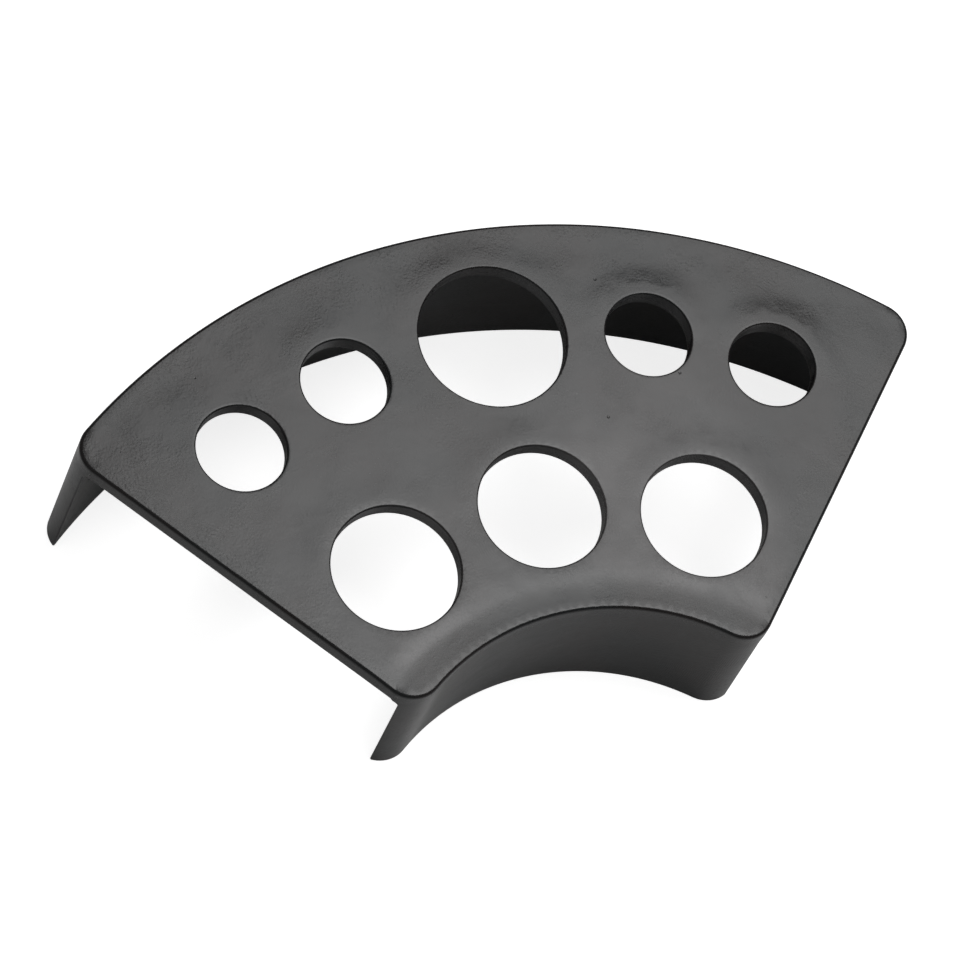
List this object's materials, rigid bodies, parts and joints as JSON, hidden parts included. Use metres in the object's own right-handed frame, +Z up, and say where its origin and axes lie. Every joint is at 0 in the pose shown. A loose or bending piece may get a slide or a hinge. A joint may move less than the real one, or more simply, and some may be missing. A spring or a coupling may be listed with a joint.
{
  "type": "cup rack",
  "caption": "Fan-shaped rack that holds small colour cups by their rims in round holes of three sizes; its sloping deck stands on two curved walls.",
  "frame": {"origin": "middle of the footprint (bounding box, in X and Y), on the plane that the rack stands on", "axes": "+X along the width of the fan, +Y towards the outer arc, +Z up; the deck slopes down towards -Y by 6.6 degrees"},
  "size_m": [0.0956, 0.054, 0.0229],
  "materials": {
    "black_plastic": "satin, with faint cloudy marks and fine tool lines"
  },
  "bodies": {
    "root": {"top_plate": "black_plastic", "outer_wall": "black_plastic", "inner_wall": "black_plastic"}
  },
  "joints": []
}
